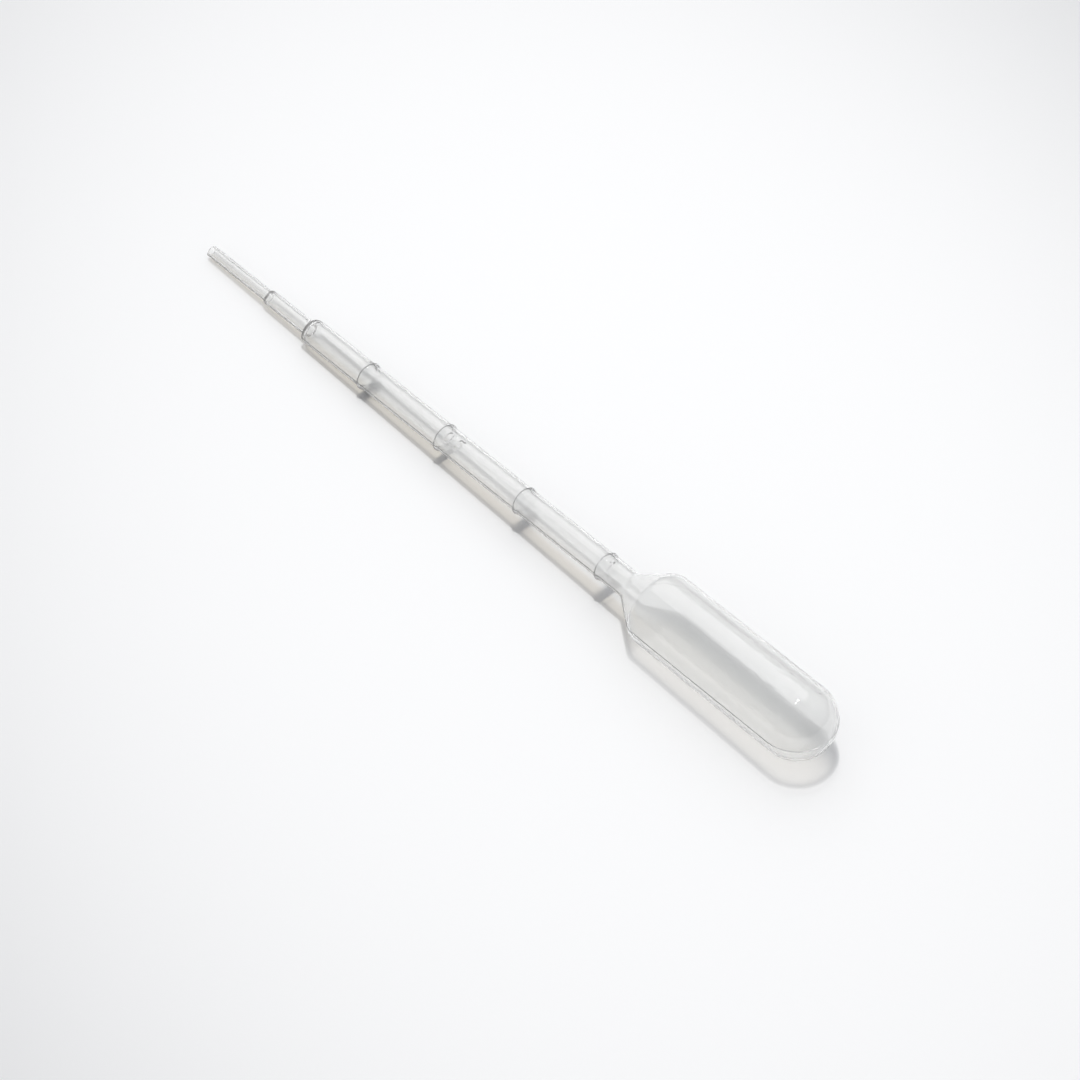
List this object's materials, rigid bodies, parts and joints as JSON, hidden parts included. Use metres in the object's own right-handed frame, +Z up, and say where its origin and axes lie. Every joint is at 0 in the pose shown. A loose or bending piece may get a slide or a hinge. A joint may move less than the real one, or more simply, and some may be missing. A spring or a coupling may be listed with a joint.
{
  "type": "dropper pipette",
  "caption": "Translucent plastic dropper pipette: slim open tip, stepped stem with raised graduation rings, and a hollow squeeze bulb with a round end.",
  "frame": {"origin": "on the surface that the pipette lies on, below the middle of its length", "axes": "+Z up from that surface; +X along the pipette as seen from above, from the open tip at -X to the bulb at +X; +Y across it, in the plane of the mould's parting line"},
  "size_m": [0.1499, 0.0132, 0.0144],
  "materials": {
    "polyethylene": "smooth, milky and see-through"
  },
  "bodies": {
    "root": {"pipette": "polyethylene"}
  },
  "joints": []
}
